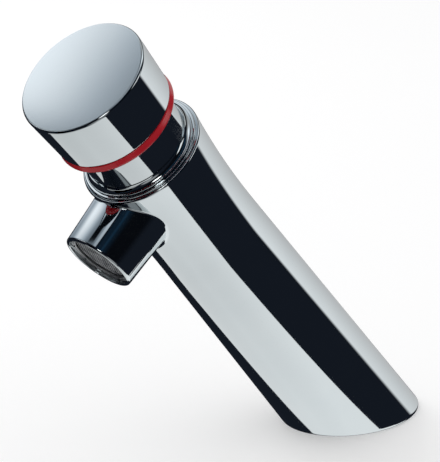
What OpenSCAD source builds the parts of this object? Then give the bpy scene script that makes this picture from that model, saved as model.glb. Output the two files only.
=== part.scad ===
// Push timed tap: a leaning deck tap whose button opens the water and whose cartridge closes it again.
// Sizes are millimetres. +Z is up from the deck, the spout reaches towards -Y, and the origin is the
// mouth of the tail socket, where the axis of the body meets the deck.
// Heights named ..._h are measured along the leaning axis of the body from that point.

/* [Body] */
// Lean of the body from upright, in degrees
lean = 42; // [32:1:46]
// Length of the axis from the deck to the rim of the body
body_len = 167; // [155:1:190]
// Radius of the body where its axis meets the deck
foot_r = 22.8; // [22:0.1:26]
// Radius of the long taper, carried on up to the rim
taper_r = 19.1; // [18.6:0.1:20]
// Radius of the flared rim under the collar
rim_r = 22.5; // [22:0.1:24]
// Height of the flare under the rim
flare_h = 49; // [40:1:60]
// Rounding of the edge of the rim
rim_round = 0.7; // [0.5:0.1:0.9]
// Height of the rim with the bead on top of it
rim_h = 1.6; // [1.5:0.1:2]
// Wall of the casting round its water space
wall = 3.2; // [2.6:0.1:4]

/* [Spout] */
// Axis of the spout below the rim
spout_drop = 14; // [13.5:0.1:16]
// Mouth of the spout from the axis of the body
spout_reach = 38.5; // [36:0.1:50]
// Radius of the spout at the axis of the body
spout_root_r = 14.65; // [14:0.05:15]
// Radius of the spout at its mouth
spout_mouth_r = 13.05; // [12.6:0.05:13.6]
// Rounding of the lip at the mouth
lip_round = 0.9; // [0.4:0.1:0.9]
// Fillet between spout and barrel, which dies out under the rim
root_fillet = 2.4; // [1.5:0.1:3]

/* [Foot] */
// Rounding of the edge that stands on the deck
foot_round = 1.5; // [1:0.1:2]
// Radius of the tail socket in the underside, the minor radius of a G 1/2 thread
tail_r = 9.3; // [8.5:0.1:10]
// Depth of the tail socket
tail_depth = 14; // [12:0.5:16]
// Middle of the gasket under the foot, in from the edge of the foot
gasket_in = 5.7; // [4.8:0.1:6.5]
// Thickness of the gasket
gasket_t = 2.2; // [1.5:0.1:3]

/* [Button] */
// Travel of the button along the axis
press = 9; // [7:0.5:10]
// Space left between the pressed button and the collar
lift_gap = 3.7; // [3:0.05:8]
// Height of the polished skirt above the coloured ring
skirt_h = 20.4; // [18:0.2:26]
// Height of the coloured ring
ring_h = 3.6; // [2.5:0.05:5]
// Rise of the skirt's radius from the ring to the top
skirt_flare = 1.1; // [0.4:0.1:1.6]
// Rise of the dome on top
dome = 1.3; // [0.6:0.1:2.5]
// Rounding between skirt and dome
brow = 0.9; // [0.5:0.1:1.5]

/* [Return spring] */
// Wire of the return spring
wire_d = 1.6; // [1.2:0.1:1.7]
// Turns of the return spring
turns = 8.5; // [6:0.5:8.5]
// Mid radius of the return spring
coil_r = 9.8; // [9:0.1:11]

/* [Aerator] */
// Pitch of the holes in the outlet screen
mesh_pitch = 1.7; // [1.5:0.05:2.4]
// Width of the web between two holes
mesh_web = 0.5; // [0.4:0.05:0.7]

/* [Fits] */
// Radial clearance of pieces that slide or turn in each other
run = 0.08; // [0.05:0.01:0.1]
// Radial clearance of pieces that are fixed in each other
seat = 0.05; // [0.03:0.01:0.08]

/* [Hidden] */
$fn = 96;
rod_r = 3;

// head and neck, from the rim inwards
top_h = body_len + rim_h;
bead = 0.45;
bead_r = rim_r - 1;
collar_r = rim_r - 1.9;
collar_t = 2.7;
cove_r = 2.2;
neck_r = collar_r - 1.9;
thread_r = neck_r - 1.7;
bore_r = thread_r - 2;
step_h = body_len - 7;
seal_t = 1.2;
flange_t = 1.6;
neck_lo = step_h + seal_t + flange_t;
neck_in_r = thread_r - 1.8;
clip_t = 1.2;
wall_lo = neck_lo + press + clip_t + 1;
wall_hi = wall_lo + 4;

// button, from the collar upwards
ring_lo = top_h + collar_t + press + lift_gap;
shadow_gap = 0.5;
ring_round = 1.2;
skirt_lo = ring_lo + ring_h;
brow_h = skirt_lo + skirt_h;
cap_in_h = brow_h - 2.8;
skirt_in_r = neck_r + 0.55;
rabbet_r = skirt_in_r + 1.3;
skirt_r = rabbet_r + 1.4;
brow_r = skirt_r + skirt_flare;
neck_hi = cap_in_h - press - 0.2;
guide_hi = neck_hi - 1;
guide_lo = guide_hi - 4;
nut_t = 3.2;
boss_lo = wall_hi + press + 0.6 + nut_t;
boss_r = 5.5;
stud_r = 2.5;
stud_hi = cap_in_h - 1.8;
washer_t = 1;

// cartridge, from the neck downwards
gland_lo = neck_lo - 6.3;
barrel_r = bore_r - 2.5;
land_r = bore_r - 0.6;
chamber_r = barrel_r - 1.5;
cup_hi = gland_lo - 0.3;
cup_lo = cup_hi - 2.2;
piston_lo = cup_lo - 3;
chamber_lo = piston_lo - press - 1;
outlet_hi = chamber_lo - 3;
seat_hi = outlet_hi - 13;
seat_lo = seat_hi - 3;
valve_hi = seat_lo - 0.1;
disc_hi = valve_hi - 2;
disc_lo = disc_hi - 3.4;
screw_lo = disc_lo - 2.6;
barrel_lo = screw_lo - press - 1;
land_hi = barrel_lo + 10.5;
bridge_hi = barrel_lo - 1.5;
bridge_lo = bridge_hi - 6;
valve_bore_r = land_r - 5.9;
seat_r = (rod_r + valve_bore_r) / 2 - 0.75;
port_r = valve_bore_r - 2;
outlet_r = 0.4 * valve_bore_r;
spigot_r = 2;
seal_wire = 1.1;
seal_up = 4.5;
strainer_h = 3;
strainer_t = 0.6;
strainer_hole = 0.9;

// spout and aerator, along the spout from the axis of the body
spout_h = body_len - spout_drop;
water_r = min(spout_drop - 8, 6);
socket_r = spout_mouth_r - 1.4;
socket_lo = spout_reach - 13;
shell_lo = socket_lo + 2;
shell_hi = spout_reach - 1.3;
slot_w = 1.2;
slot_d = 0.6;
slot_step = 40;
shell_r = socket_r - seat;
screen_lo = spout_reach - 2.9;
screen_r = shell_r - 0.75;
jet_r = screen_r - 0.5;

// foot
core_floor = tail_depth + 6;
filter_r = tail_r + 0.9;
filter_t = 2.2;
gasket_r = foot_r - gasket_in;
gasket_w = 3.3;

// the body's taper, and the circle that its flare follows
slope = (taper_r - foot_r) / body_len;
function taper(h) = foot_r + slope * h;
flare_h0 = body_len - flare_h;
flare_dr = rim_r - taper(flare_h0);
tilt_len = sqrt(1 + slope * slope);
flare_R = (flare_dr * flare_dr + flare_h * flare_h) * tilt_len / (2 * (flare_dr - slope * flare_h));
flare_cr = taper(flare_h0) + flare_R / tilt_len;
flare_ch = flare_h0 - slope * flare_R / tilt_len;
function flare(h) = flare_cr - sqrt(flare_R * flare_R - (h - flare_ch) * (h - flare_ch));

// points of an arc about a centre, from angle a0 to a1 in n steps
function arc(c, r, a0, a1, n) = [for (i = [0 : n]) let (a = a0 + (a1 - a0) * i / n) c + r * [cos(a), sin(a)]];

// places its children on the leaning axis of the body
module on_axis() {
    rotate([lean, 0, 0]) children();
}

// places its children on the axis of the spout, which leaves the body at a right angle
module on_spout() {
    on_axis() translate([0, 0, spout_h]) rotate([90, 0, 0]) children();
}

// a plain ring between two heights
module ring(r_in, r_out, lo, hi) {
    rotate_extrude() polygon([[r_in, lo], [r_out, lo], [r_out, hi], [r_in, hi]]);
}

// a ring of round section
module round_ring(r_mid, r_wire, mid) {
    rotate_extrude() translate([r_mid, mid]) circle(r = r_wire, $fn = 32);
}

// everything above a level of the row frame
module above(level) {
    translate([-200, -300, level]) cube([400, 600, 400]);
}

// outside of the leaning barrel: long taper, flare, and a rounded rim with a bead on top
module barrel_outside() {
    steps = 24;
    low = -1.2 * foot_r;
    rim = arc([rim_r - rim_round, body_len], rim_round, 0, 90, 6);
    top_bead = arc([bead_r - bead, top_h - bead], bead, -45, 90, 9);
    bend = [for (i = [0 : steps - 1]) let (h = flare_h0 + flare_h * i / steps) [flare(h), h]];
    below = [[0, low], [taper(low), low]];
    rotate_extrude($fn = 180) polygon(concat(below, bend, rim, top_bead, [[0, top_h]]));
}

// outside of the spout: a short taper with a rounded lip
module spout_outside() {
    lip = arc([spout_mouth_r - lip_round, spout_reach - lip_round], lip_round, 0, 90, 6);
    rotate_extrude($fn = 128) polygon(concat([[0, 0], [spout_root_r, 0]], lip, [[0, spout_reach]]));
}

// closed band of one section per step, each a list of the same number of points
module band(sections) {
    n = len(sections);
    m = len(sections[0]);
    points = [for (section = sections) for (p = section) p];
    faces = [for (i = [0 : n - 1]) for (j = [0 : m - 1])
        let (k = (j + 1) % m, row = i * m, next = (i + 1) % n * m)
        each [[row + j, row + k, next + k], [row + j, next + k, next + j]]];
    polyhedron(points, faces, convexity = 6);
}

// radius of the barrel at a height, and of the spout at a distance from the axis
function barrel_r_at(h) = h < flare_h0 ? taper(h) : flare(min(h, body_len));
function spout_r_at(t) = spout_root_r + (spout_mouth_r - spout_root_r) * t / spout_reach;

// fillet round the root of the spout: a ball rolls along both, smaller where the rim leaves no room
function fillet_r(a) = root_fillet * (0.12 + 0.88 * pow((1 - sin(a)) / 2, 0.5));
function unit(v) = v / norm(v);
function fillet_section(a) =
    let (f = fillet_r(a), out = [cos(a), sin(a), 0], rs = spout_r_at(barrel_r_at(spout_h)),
        mid = (rs + f) * out, rb = barrel_r_at(spout_h + mid.y) + f,
        ball = [mid.x, mid.y, sqrt(rb * rb - mid.x * mid.x)],
        side = -out, down = -unit([ball.x, 0, ball.z]), n = 5, sink = 0.04)
    concat([for (k = [0 : n]) let (w = unit(side * (1 - k / n) + down * (k / n)))
            ball + (f + (k == 0 || k == n ? sink : 0)) * w],
        [ball + (f + 1.2) * unit(side + 1.5 * down), ball + (f + 1.2) * unit(1.5 * side + down)]);
module root_band() {
    band([for (i = [0 : 71]) fillet_section(-i * 5)]);
}

// what the rounding takes off the edge of the foot: a ball rolls inside wall and deck
down_dir = [0, -sin(lean), -cos(lean)];
function foot_section(a) =
    let (f = foot_round, wall_dir = unit([cos(a), sin(a), -slope]), inner_r = foot_r - f * tilt_len,
        h = (f - inner_r * sin(a) * sin(lean)) / (cos(lean) + slope * sin(a) * sin(lean)),
        r = inner_r + slope * h, ball = [r * cos(a), r * sin(a), h], mean = unit(wall_dir + down_dir),
        tip = f / (wall_dir * mean) + 2.5, n = 5, out = 0.04)
    concat([for (k = [0 : n]) let (w = unit(wall_dir * (1 - k / n) + down_dir * (k / n)))
            ball + (f + (k == 0 || k == n ? out : 0)) * w],
        [ball + (f + 2.5) * down_dir, ball + tip * mean, ball + (f + 2.5) * wall_dir]);
module foot_band() {
    band([for (i = [0 : 71]) foot_section(i * 5)]);
}

// water space inside the barrel, below the wall that carries the cartridge
module core() {
    low = -1.2 * foot_r;
    points = [[0, low], [taper(low) - wall, low], [taper(bridge_lo - 3) - wall, bridge_lo - 3],
        [taper(bridge_lo) - wall - 3, bridge_lo], [0, bridge_lo]];
    rotate_extrude() polygon(points);
}

// bore for the cartridge and thread for the neck
module head_bore() {
    points = [[0, bridge_hi], [bore_r, bridge_hi], [bore_r, step_h], [thread_r, step_h],
        [thread_r, top_h + 1], [0, top_h + 1]];
    rotate_extrude() polygon(points);
}

// chromed brass casting: leaning barrel cut off by the deck, spout, water ways and sockets
module tap_body() {
    color([0.80, 0.82, 0.84]) difference() {
        intersection() {
            union() {
                on_axis() barrel_outside();
                on_spout() spout_outside();
                on_spout() root_band();
            }
            above(0);
        }
        intersection() {
            on_axis() core();
            above(core_floor);
        }
        on_axis() foot_band();
        on_axis() head_bore();
        on_axis() translate([0, 0, bridge_lo - 1]) cylinder(r = port_r, h = bridge_hi - bridge_lo + 2);
        on_spout() translate([0, 0, barrel_r]) cylinder(r = water_r, h = socket_lo - barrel_r + 1);
        on_spout() translate([0, 0, socket_lo]) cylinder(r = socket_r, h = 20);
        translate([0, 0, -1]) cylinder(r = tail_r, h = tail_depth + 1.5);
        translate([0, 0, tail_depth]) cylinder(r = filter_r, h = filter_t + 0.1);
        translate([0, 0, tail_depth]) cylinder(r = port_r, h = core_floor - tail_depth + 2);
        ring(gasket_r - gasket_w / 2, gasket_r + gasket_w / 2, -1, gasket_t);
    }
}

// rubber ring in the groove under the foot, flush with it when the tap is tightened down
module base_gasket() {
    half = gasket_w / 2 - 0.1;
    color([0.08, 0.08, 0.09]) ring(gasket_r - half, gasket_r + half, 0, gasket_t - seat);
}

// filter washer in the recess at the end of the tail socket
module inlet_filter() {
    lo = tail_depth + seat;
    color([0.16, 0.16, 0.18]) difference() {
        translate([0, 0, lo]) cylinder(r = filter_r - seat, h = filter_t - seat);
        for (a = [0 : 60 : 300]) rotate([0, 0, a]) translate([3.2, 0, 0]) cylinder(r = 1.2, h = 30);
        cylinder(r = 1.2, h = 30);
    }
}

// perforated thimble that hangs in the port below the cartridge
module inlet_strainer() {
    r = port_r - 0.1;
    lo = bridge_lo - strainer_h;
    points = [[0, lo], [r - 1, lo], [r, lo + 1], [r, bridge_hi], [r + strainer_t, bridge_hi],
        [r + strainer_t, bridge_hi + 0.7], [r - strainer_t, bridge_hi + 0.7], [r - strainer_t, lo + 1],
        [r - 1, lo + strainer_t], [0, lo + strainer_t]];
    color([0.72, 0.73, 0.74]) on_axis() difference() {
        rotate_extrude() polygon(points);
        for (a = [0 : 60 : 300]) rotate([0, 0, a]) translate([r * 0.5625, 0, lo - 1])
            cylinder(r = strainer_hole, h = 3);
        translate([0, 0, lo - 1]) cylinder(r = strainer_hole, h = 3);
    }
}

// rubber washer between the cartridge and the wall of the casting
module seat_washer() {
    color([0.09, 0.09, 0.10]) on_axis() ring(port_r + strainer_t, land_r - 0.4, bridge_hi, barrel_lo);
}

// brass cartridge: valve bore below, closed timing chamber above, ports to the spout between them
module cartridge_barrel() {
    groove = barrel_lo + seal_up;
    half = seal_wire + 0.1;
    deep = bore_r - 2 * seal_wire - 0.1;
    flange_lo = step_h + seal_t;
    flange_r = thread_r - 0.1;
    well_r = rod_r + 1.8;
    well_lo = chamber_lo - 2;
    points = [[valve_bore_r, barrel_lo], [land_r, barrel_lo], [land_r, groove - half],
        [deep, groove - half], [deep, groove + half], [land_r, groove + half], [land_r, land_hi - 1],
        [barrel_r, land_hi], [barrel_r, flange_lo], [flange_r, flange_lo], [flange_r, neck_lo],
        [chamber_r, neck_lo],
        [chamber_r, chamber_lo], [well_r, chamber_lo], [well_r, well_lo], [rod_r + run, well_lo],
        [rod_r + run, outlet_hi], [valve_bore_r, outlet_hi]];
    color([0.78, 0.63, 0.33]) on_axis() difference() {
        rotate_extrude() polygon(points);
        for (a = [45 : 90 : 315]) rotate([0, 0, a])
            translate([valve_bore_r - 2.5, 0, (seat_hi + outlet_hi) / 2])
                rotate([0, 90, 0]) cylinder(r = outlet_r, h = 12);
    }
}

// ring of round section that keeps supply and spout apart outside the cartridge
module cartridge_seal() {
    color([0.07, 0.07, 0.08]) on_axis() round_ring(bore_r - seat - seal_wire, seal_wire, barrel_lo + seal_up);
}

// seat that the valve washer closes against from below
module valve_seat() {
    out = valve_bore_r - seat;
    points = [[seat_r, seat_lo + 0.5], [seat_r + 0.5, seat_lo], [out, seat_lo], [out, seat_hi],
        [seat_r + 1, seat_hi], [seat_r, seat_hi - 1]];
    color([0.70, 0.71, 0.72]) on_axis() rotate_extrude() polygon(points);
}

// rod seal in the floor of the timing chamber
module divider_seal() {
    color([0.07, 0.07, 0.08]) on_axis() round_ring(rod_r + run + 0.8, 0.8, chamber_lo - 1.1);
}

// guide of the rod that closes the timing chamber
module gland_nut() {
    out = chamber_r - seat;
    deep = rod_r + 2;
    points = [[rod_r + run, gland_lo], [out, gland_lo], [out, neck_lo], [deep, neck_lo],
        [deep, neck_lo - 2.2], [rod_r + run, neck_lo - 2.2]];
    color([0.78, 0.63, 0.33]) on_axis() rotate_extrude() polygon(points);
}

// rod seal in the gland
module gland_seal() {
    color([0.07, 0.07, 0.08]) on_axis() round_ring(rod_r + run + 0.9, 0.9, neck_lo - 1.2);
}

// flat seal between the flange of the cartridge and the step in the head bore
module head_seal() {
    color([0.09, 0.09, 0.10]) on_axis() ring(bore_r + 0.1, thread_r - 0.15, step_h, step_h + seal_t);
}

// chromed neck: screwed into the head, clamps the cartridge and guides the button
module neck_sleeve() {
    screwed = thread_r - seat;
    groove_r = neck_r - 1;
    well_r = neck_r - 4.2;
    points = [[neck_in_r, neck_lo], [screwed, neck_lo], [screwed, top_h], [neck_r, top_h], [neck_r, guide_lo],
        [groove_r, guide_lo], [groove_r, guide_hi], [neck_r, guide_hi], [neck_r, neck_hi - 0.5],
        [neck_r - 0.5, neck_hi], [well_r, neck_hi], [well_r, wall_hi], [rod_r + run, wall_hi],
        [rod_r + run, wall_lo], [neck_in_r, wall_lo]];
    color([0.80, 0.82, 0.84]) on_axis() rotate_extrude() polygon(points);
}

// chromed trim ring round the foot of the neck: a thin edge, and a cove that runs up to the neck
module collar_ring() {
    edge = 0.25;
    hole = neck_r + seat;
    high = top_h + collar_t;
    foot = [[hole, top_h], [collar_r - 0.2, top_h], [collar_r, top_h + 0.2]];
    rim = arc([collar_r - edge, top_h + 0.7 - edge], edge, 0, 90, 5);
    cove = arc([neck_r + edge + cove_r, high], cove_r, 245, 180, 8);
    color([0.80, 0.82, 0.84]) on_axis()
        rotate_extrude($fn = 128) polygon(concat(foot, rim, cove, [[hole, high]]));
}

// plastic ring in the neck's groove that the skirt slides on
module guide_ring() {
    out = skirt_in_r - run;
    in = neck_r - 1 + seat;
    lo = guide_lo + seat;
    hi = guide_hi - seat;
    points = [[in, lo], [out - 0.4, lo], [out, lo + 0.4], [out, hi - 0.4], [out - 0.4, hi], [in, hi]];
    color([0.92, 0.92, 0.90]) on_axis() rotate_extrude() polygon(points);
}

// steel washer under the return spring
module spring_washer() {
    color([0.66, 0.67, 0.69]) on_axis() ring(boss_r + 1.2, neck_r - 4.4, wall_hi, wall_hi + washer_t);
}

// return spring between the neck and the button: one tube, close turns at both ends, open turns between
spring_lo = wall_hi + washer_t + wire_d / 2 + 0.05;
spring_hi = cap_in_h - wire_d / 2 - 0.05;
end_pitch = wire_d + 0.45;
open_pitch = (spring_hi - spring_lo - 2 * end_pitch) / (turns - 2);
function coil_h(t) = spring_lo + end_pitch * (min(t, 1) + max(t - turns + 1, 0))
    + open_pitch * (max(min(t, turns - 1), 1) - 1);
function coil_at(t) = [coil_r * cos(360 * t), coil_r * sin(360 * t), coil_h(t)];
echo(least_gap_of_spring = min([for (t = [0 : 0.05 : turns - 1])
    min([for (u = [t + 0.8 : 0.02 : min(t + 1.2, turns)]) norm(coil_at(u) - coil_at(t))])]) - wire_d);

module return_spring() {
    sides = 8;
    steps = floor(turns * 20);
    points = [for (i = [0 : steps]) let (t = turns * i / steps) for (j = [0 : sides - 1])
        let (b = 360 * j / sides, r = coil_r + wire_d / 2 * cos(b))
        [r * cos(360 * t), r * sin(360 * t), coil_h(t) + wire_d / 2 * sin(b)]];
    tube = [for (i = [0 : steps - 1]) for (j = [0 : sides - 1])
        [i * sides + j, i * sides + (j + 1) % sides, (i + 1) * sides + (j + 1) % sides, (i + 1) * sides + j]];
    start = [for (j = [0 : sides - 1]) sides - 1 - j];
    stop = [for (j = [0 : sides - 1]) steps * sides + j];
    color([0.62, 0.63, 0.65]) on_axis() polyhedron(points, concat(tube, [start, stop]), convexity = 12);
}

// seal between the aerator and the end of its socket
module aerator_washer() {
    color([0.09, 0.09, 0.10]) on_spout() ring(water_r + 1, shell_r, socket_lo, shell_lo);
}

// shell that screws into the mouth by the key slots in its face and carries the jets and the screen
module aerator_shell() {
    points = [[jet_r - 2, shell_lo], [shell_r, shell_lo], [shell_r, shell_hi - 0.15],
        [shell_r - 0.15, shell_hi], [screen_r + 0.2, shell_hi], [screen_r + seat, shell_hi - 0.15],
        [screen_r + seat, screen_lo], [jet_r, screen_lo], [jet_r, shell_lo + 1.2],
        [jet_r - 2, shell_lo + 1.2]];
    color([0.78, 0.80, 0.82]) on_spout() difference() {
        rotate_extrude() polygon(points);
        for (a = [0 : slot_step : 359]) rotate([0, 0, a])
            translate([screen_r - 1, -slot_w / 2, shell_hi - slot_d]) cube([4, slot_w, 2]);
    }
}

// plastic disc that splits the water into jets
module aerator_jets() {
    lo = shell_lo + 1.2;
    hi = screen_lo - 0.4;
    r = jet_r - seat;
    points = [[0, lo], [r, lo], [r, hi], [r - 1, hi], [r - 1, lo + 2], [1.6, lo + 2], [0, lo + 4.5]];
    color([0.90, 0.90, 0.88]) on_spout() difference() {
        rotate_extrude() polygon(points);
        for (a = [0 : 30 : 330]) rotate([0, 0, a]) translate([r * 0.62, 0, lo - 1]) cylinder(r = 0.8, h = 5);
    }
}

// outlet screen: rows of round holes in a thin disc
module aerator_screen() {
    row = mesh_pitch * sqrt(3) / 2;
    hole_r = (mesh_pitch - mesh_web) / 2;
    rim = screen_r - 0.8 - hole_r;
    n = ceil(screen_r / row);
    color([0.45, 0.46, 0.48]) on_spout() translate([0, 0, screen_lo]) difference() {
        cylinder(r = screen_r, h = 0.6);
        for (j = [-n : n]) for (i = [-n : n]) {
            x = mesh_pitch * (i + (j % 2 == 0 ? 0 : 0.5));
            if (norm([x, row * j]) < rim) translate([x, row * j, -1]) cylinder(r = hole_r, h = 3, $fn = 24);
        }
    }
}

// snap ring that keeps the screen in
module aerator_clip() {
    lo = screen_lo + 0.6;
    color([0.70, 0.72, 0.74]) on_spout() ring(screen_r - 0.7, screen_r, lo, lo + 0.8);
}

// chromed button: domed top, skirt that slides over the neck, boss for the rod
module button_cap() {
    cap_lo = ring_lo + 0.6;
    top_r = brow_r - brow;
    dome_R = (top_r * top_r + dome * dome) / (2 * dome);
    reach = asin(top_r / dome_R);
    crown = arc([0, brow_h + dome - dome_R], dome_R, 90 - reach, 90, 12);
    edge = arc([top_r, brow_h - brow], brow, 0, 80, 8);
    hole = stud_r + seat;
    inside = [[0, stud_hi], [hole, stud_hi], [hole, boss_lo], [boss_r, boss_lo], [boss_r, cap_in_h],
        [skirt_in_r - 0.6, cap_in_h], [skirt_in_r, cap_in_h - 0.6], [skirt_in_r, cap_lo]];
    outside = [[rabbet_r, cap_lo], [rabbet_r, skirt_lo], [skirt_r - 0.2, skirt_lo],
        [skirt_r, skirt_lo + 0.2]];
    color([0.80, 0.82, 0.84]) on_axis()
        rotate_extrude($fn = 180) polygon(concat(inside, outside, edge, crown));
}

// coloured ring clipped on the lower edge of the skirt
module colour_ring() {
    in = rabbet_r + seat;
    low_r = skirt_r + 0.25;
    top_lo = skirt_lo - shadow_gap - 0.4;
    bottom = arc([low_r - ring_round, ring_lo + ring_round], ring_round, -90, 0, 8);
    top = concat(arc([skirt_r - 0.5, top_lo], 0.4, 0, 90, 6), [[in, top_lo + 0.4]]);
    color([0.72, 0.04, 0.06]) on_axis()
        rotate_extrude($fn = 180) polygon(concat([[in, ring_lo]], bottom, top));
}

// steel rod from the button to the valve
module push_rod() {
    groove = wall_lo - 0.3;
    stud_lo = boss_lo - nut_t - 0.1;
    tip = stud_hi - 0.5;
    points = [[0, disc_lo], [spigot_r, disc_lo], [spigot_r, valve_hi], [rod_r, valve_hi],
        [rod_r, groove - clip_t], [rod_r - 0.6, groove - clip_t], [rod_r - 0.6, groove], [rod_r, groove],
        [rod_r, stud_lo], [stud_r, stud_lo], [stud_r, tip - 0.5], [stud_r - 0.5, tip], [0, tip]];
    color([0.70, 0.71, 0.73]) on_axis() rotate_extrude() polygon(points);
}

// nut that locks the rod to the boss of the button
module lock_nut() {
    color([0.74, 0.75, 0.77]) on_axis() translate([0, 0, boss_lo - nut_t]) difference() {
        cylinder(r = 4.6, h = nut_t, $fn = 6);
        translate([0, 0, -1]) cylinder(r = stud_r + seat, h = nut_t + 2);
    }
}

// clip on the rod that stops the button under the wall of the neck
module stop_clip() {
    hi = wall_lo - 0.3 - seat;
    lo = hi - clip_t + 2 * seat;
    color([0.60, 0.61, 0.63]) on_axis() difference() {
        translate([0, 0, lo]) cylinder(r = 5.2, h = hi - lo);
        translate([0, 0, lo - 1]) cylinder(r = rod_r - 0.6 + seat, h = 5);
        translate([0, -1.6, lo - 1]) cube([10, 3.2, 5]);
    }
}

// lip seal that lets water past on the way down and holds it on the way up
module piston_cup() {
    lip = chamber_r - run;
    points = [[rod_r + seat, cup_lo], [lip - 0.7, cup_lo], [lip, cup_hi - 0.4], [lip, cup_hi],
        [lip - 0.8, cup_hi], [lip - 1.6, cup_lo + 0.9], [rod_r + seat, cup_lo + 0.9]];
    color([0.10, 0.10, 0.11]) on_axis() rotate_extrude() polygon(points);
}

// piston of the timing chamber, with a seat for the bleed jet
module timing_piston() {
    out = chamber_r - 0.3;
    color([0.88, 0.87, 0.82]) on_axis() difference() {
        ring(rod_r + seat, out, piston_lo, cup_lo);
        translate([chamber_r * 0.62, 0, piston_lo - 1]) cylinder(r = 1.3, h = 5);
    }
}

// calibrated jet that sets the running time
module bleed_jet() {
    color([0.70, 0.10, 0.25]) on_axis() translate([chamber_r * 0.62, 0, 0])
        ring(0.35, 1.3 - seat, piston_lo, cup_lo);
}

// rubber washer that closes the seat
module valve_washer() {
    color([0.09, 0.09, 0.10]) on_axis() ring(spigot_r + seat, valve_bore_r - 1.2, disc_hi, valve_hi);
}

// brass disc behind the valve washer
module valve_disc() {
    out = valve_bore_r - 0.9;
    points = [[spigot_r + seat, disc_lo], [out - 1.5, disc_lo], [out, disc_lo + 1.5], [out, disc_hi],
        [spigot_r + seat, disc_hi]];
    color([0.78, 0.63, 0.33]) on_axis() rotate_extrude() polygon(points);
}

// screw head that holds disc and washer on the rod
module valve_screw() {
    color([0.72, 0.73, 0.75]) on_axis() difference() {
        translate([0, 0, screw_lo]) cylinder(r = 3.4, h = disc_lo - screw_lo);
        translate([-5, -0.5, screw_lo - 1]) cube([10, 1, 2]);
    }
}

tap_body();
base_gasket();
inlet_filter();
inlet_strainer();
seat_washer();
cartridge_barrel();
cartridge_seal();
valve_seat();
divider_seal();
gland_nut();
gland_seal();
head_seal();
neck_sleeve();
collar_ring();
guide_ring();
spring_washer();
return_spring();
aerator_washer();
aerator_shell();
aerator_jets();
aerator_screen();
aerator_clip();
button_cap();
colour_ring();
push_rod();
lock_nut();
stop_clip();
piston_cup();
timing_piston();
bleed_jet();
valve_washer();
valve_disc();
valve_screw();
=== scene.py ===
import math

import bpy
import numpy as np
from mathutils import Matrix, Quaternion, Vector


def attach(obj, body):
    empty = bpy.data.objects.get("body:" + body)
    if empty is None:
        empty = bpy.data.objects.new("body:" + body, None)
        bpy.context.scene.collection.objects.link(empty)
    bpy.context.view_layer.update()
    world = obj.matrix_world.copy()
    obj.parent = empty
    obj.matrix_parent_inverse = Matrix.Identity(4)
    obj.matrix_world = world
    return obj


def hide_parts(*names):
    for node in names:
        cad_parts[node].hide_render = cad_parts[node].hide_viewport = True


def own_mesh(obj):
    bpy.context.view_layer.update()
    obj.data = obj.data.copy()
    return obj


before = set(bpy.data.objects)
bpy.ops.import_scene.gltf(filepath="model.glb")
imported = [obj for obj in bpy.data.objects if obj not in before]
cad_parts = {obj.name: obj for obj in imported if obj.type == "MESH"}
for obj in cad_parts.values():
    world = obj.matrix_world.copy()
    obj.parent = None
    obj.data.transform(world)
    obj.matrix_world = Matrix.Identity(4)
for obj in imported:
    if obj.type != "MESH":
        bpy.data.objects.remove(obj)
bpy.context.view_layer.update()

# Tap body: one brass casting, polished and chromed, whose leaning barrel is cut off flat by the deck.
# The short spout is cast on at a right angle, with a fillet round its root that dies out under the rim.
# It is bored from above for the cartridge, through the spout for the aerator, and from below for the tail.
lean = math.radians(42)
lean_sin, lean_cos = math.sin(lean), math.cos(lean)
foot_r, taper_r, body_len = 0.0228, 0.0191, 0.1670
foot_round = 0.0015
rim_r, flare_len, rim_round = 0.0225, 0.0490, 0.0007
bead_r, bead, top_h = 0.0215, 0.00045, 0.1686
thread_r, step_h, bore_r, wall = 0.0170, 0.1600, 0.0150, 0.0032
bridge_hi, bridge_lo, port_r, core_floor = 0.1024, 0.0964, 0.0065, 0.0200
filter_r, filter_lo, filter_hi, tail_r = 0.0102, 0.0140, 0.0163, 0.0093
groove_in, groove_out, groove_depth = 0.01545, 0.01875, 0.0022
spout_h, spout_reach, spout_root_r, spout_mouth_r = 0.1530, 0.0385, 0.01465, 0.01305
lip_round, mouth_round, root_fillet, fillet_least = 0.0009, 0.0004, 0.0024, 0.05
swell, swell_run = 0.00012, 0.0022
socket_r, socket_lo, water_r = 0.01165, 0.0255, 0.0060
chrome_tint, chrome_shade = (0.640, 0.690, 0.705, 1), (0.600, 0.655, 0.675, 1)

columns, half_window, window_rows, bore_window_half = 192, 32, 22, 0.0066
foot_steps, taper_steps, flare_rows, rim_steps, bead_steps = 14, 14, 28, 8, 9
fillet_steps, lead_steps, spout_steps, lip_steps = 16, 8, 24, 8
mouth_steps, socket_steps, bore_lead_steps = 6, 5, 4
# Rows close beside a rounding keep it from bending the light on the long wall next to it.
beside_foot, beside_rim, beside_lip = 0.003, 0.0003, 0.015
round_angle = math.radians(-90) + np.arange(columns) * 2 * math.pi / columns
out_x, out_y = np.cos(round_angle), np.sin(round_angle)
slope = (taper_r - foot_r) / body_len
steep = math.hypot(1, slope)
flare_lo = body_len - flare_len
flare_rise = rim_r - (foot_r + slope * flare_lo)
flare_arc = (flare_rise ** 2 + flare_len ** 2) * steep / (2 * (flare_rise - slope * flare_len))
flare_mid_r = foot_r + slope * flare_lo + flare_arc / steep
flare_mid_h = flare_lo - slope * flare_arc / steep


def barrel_r(height):
    """Radius of the barrel: a straight taper, then the flare up to the rim."""
    bowed = flare_mid_r - np.sqrt(flare_arc ** 2 - (height - flare_mid_h) ** 2)
    return np.where(height < flare_lo, foot_r + slope * height, bowed)


def round_axis(radius, height):
    """A row of points round the axis of the barrel, which stands upright until the piece is leant over."""
    return np.stack(np.broadcast_arrays(radius * out_x, radius * out_y, height), axis=1)


def round_tail(radius, rise):
    """A row of points round the plumb axis of the tail, at a rise above the deck."""
    x, y = radius * out_x, radius * out_y
    return np.stack([x, y * lean_cos + rise * lean_sin, rise * lean_cos - y * lean_sin], axis=1)


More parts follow.
